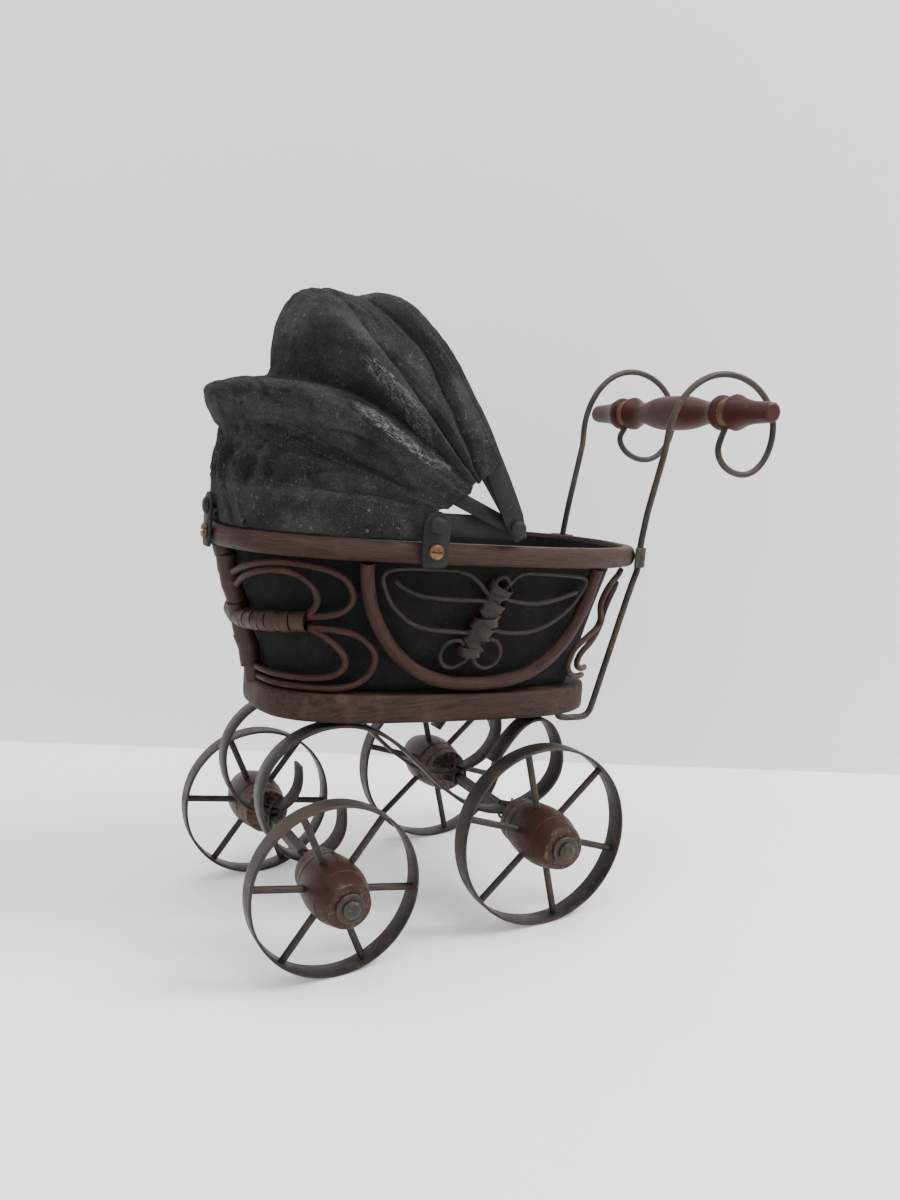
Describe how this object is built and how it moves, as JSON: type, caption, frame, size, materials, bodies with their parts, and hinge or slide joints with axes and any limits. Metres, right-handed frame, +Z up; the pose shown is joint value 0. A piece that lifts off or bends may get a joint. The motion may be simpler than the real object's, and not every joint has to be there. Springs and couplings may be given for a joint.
{
  "type": "doll stroller",
  "caption": "Miniature wicker pram: spoked wheels on scroll springs, rattan basket on a board, wire push handle with turned grip, and a cloth hood on folding bows.",
  "frame": {"origin": "on the floor, at the middle of the bounding box's base", "axes": "+X from the hood end to the handle end, +Y from the pusher's left to the pusher's right, +Z up"},
  "size_m": [0.2686, 0.1564, 0.2683],
  "materials": {
    "iron": "dark wrought strip and wire, dull brown-black, lightly rusted",
    "hub_wood": "turned wood, worn dark red paint",
    "rattan": "stained rattan, satin, worn along its edges",
    "cane": "split cane binding and cane-brown wire, matt",
    "plank": "stained board, matt and speckled",
    "liner": "black oilcloth, matt",
    "hood_cloth": "charcoal wool cloth, linty and frayed",
    "hood_metal": "dark green-grey paint over strip metal, satin",
    "screw_bronze": "tarnished bronze, slotted head"
  },
  "bodies": {
    "pram": {"base_board": "plank", "basket_liner": "liner", "bracket_rivet_front": "hood_metal", "bracket_rivet_left": "hood_metal", "bracket_rivet_right": "hood_metal", "bracket_screw_front": "screw_bronze", "bracket_screw_left": "screw_bronze", "bracket_screw_right": "screw_bronze", "front_axle": "iron", "front_left_lashing": "iron", "front_left_washer": "iron", "front_post": "cane", "front_right_lashing": "iron", "front_right_washer": "iron", "front_scroll_lower_left": "rattan", "front_scroll_lower_right": "rattan", "front_scroll_upper_left": "rattan", "front_scroll_upper_right": "rattan", "handle_clamp_left": "iron", "handle_clamp_right": "iron", "handle_grip": "hub_wood", "handle_wire_left": "iron", "handle_wire_right": "iron", "hood_bracket_front": "hood_metal", "hood_bracket_left": "hood_metal", "hood_bracket_right": "hood_metal", "hood_hoop": "hood_metal", "hood_pivot_left": "hood_metal", "hood_pivot_right": "hood_metal", "hood_skirt": "hood_cloth", "left_spring": "iron", "rear_axle": "iron", "rear_left_lashing": "iron", "rear_left_washer": "iron", "rear_post": "cane", "rear_right_lashing": "iron", "rear_right_washer": "iron", "rear_scroll_left": "rattan", "rear_scroll_right": "rattan", "right_spring": "iron", "rim_hoop": "rattan", "side_arch_left": "rattan", "side_arch_right": "rattan", "wing_wires_left": "cane", "wing_wires_right": "cane"},
    "front_left_wheel": {"front_left_wheel_iron": "iron", "front_left_hub": "hub_wood"},
    "front_right_wheel": {"front_right_wheel_iron": "iron", "front_right_hub": "hub_wood"},
    "rear_left_wheel": {"rear_left_wheel_iron": "iron", "rear_left_hub": "hub_wood"},
    "rear_right_wheel": {"rear_right_wheel_iron": "iron", "rear_right_hub": "hub_wood"},
    "hood_back": {"hood_bow_back": "hood_metal", "hood_cover_back": "hood_cloth"},
    "hood_middle": {"hood_bow_middle": "hood_metal", "hood_cover_middle": "hood_cloth"},
    "hood_front": {"hood_bow_front": "hood_metal", "hood_cover_front": "hood_cloth"}
  },
  "joints": [
    {"name": "front_left_roll", "type": "hinge", "parent": "pram", "child": "front_left_wheel", "pos_m": [-0.09931, -0.0555, 0.035], "axis": [0, 1, 0], "continuous": true},
    {"name": "front_right_roll", "type": "hinge", "parent": "pram", "child": "front_right_wheel", "pos_m": [-0.09931, 0.0555, 0.035], "axis": [0, 1, 0], "continuous": true},
    {"name": "rear_left_roll", "type": "hinge", "parent": "pram", "child": "rear_left_wheel", "pos_m": [-0.00531, -0.0555, 0.039], "axis": [0, 1, 0], "continuous": true},
    {"name": "rear_right_roll", "type": "hinge", "parent": "pram", "child": "rear_right_wheel", "pos_m": [-0.00531, 0.0555, 0.039], "axis": [0, 1, 0], "continuous": true},
    {"name": "hood_fold", "type": "hinge", "parent": "pram", "child": "hood_back", "pos_m": [-0.01609, 0, 0.17045], "axis": [0, -1, 0], "range_deg": [0, 7], "deforming": ["hood_cover_back"]},
    {"name": "middle_bow_fold", "type": "hinge", "parent": "hood_back", "child": "hood_middle", "pos_m": [-0.01609, 0, 0.17045], "axis": [0, -1, 0], "range_deg": [-4, 8], "deforming": ["hood_cover_middle"]},
    {"name": "front_bow_fold", "type": "hinge", "parent": "hood_middle", "child": "hood_front", "pos_m": [-0.01609, 0, 0.17045], "axis": [0, -1, 0], "range_deg": [-4, 0]}
  ]
}
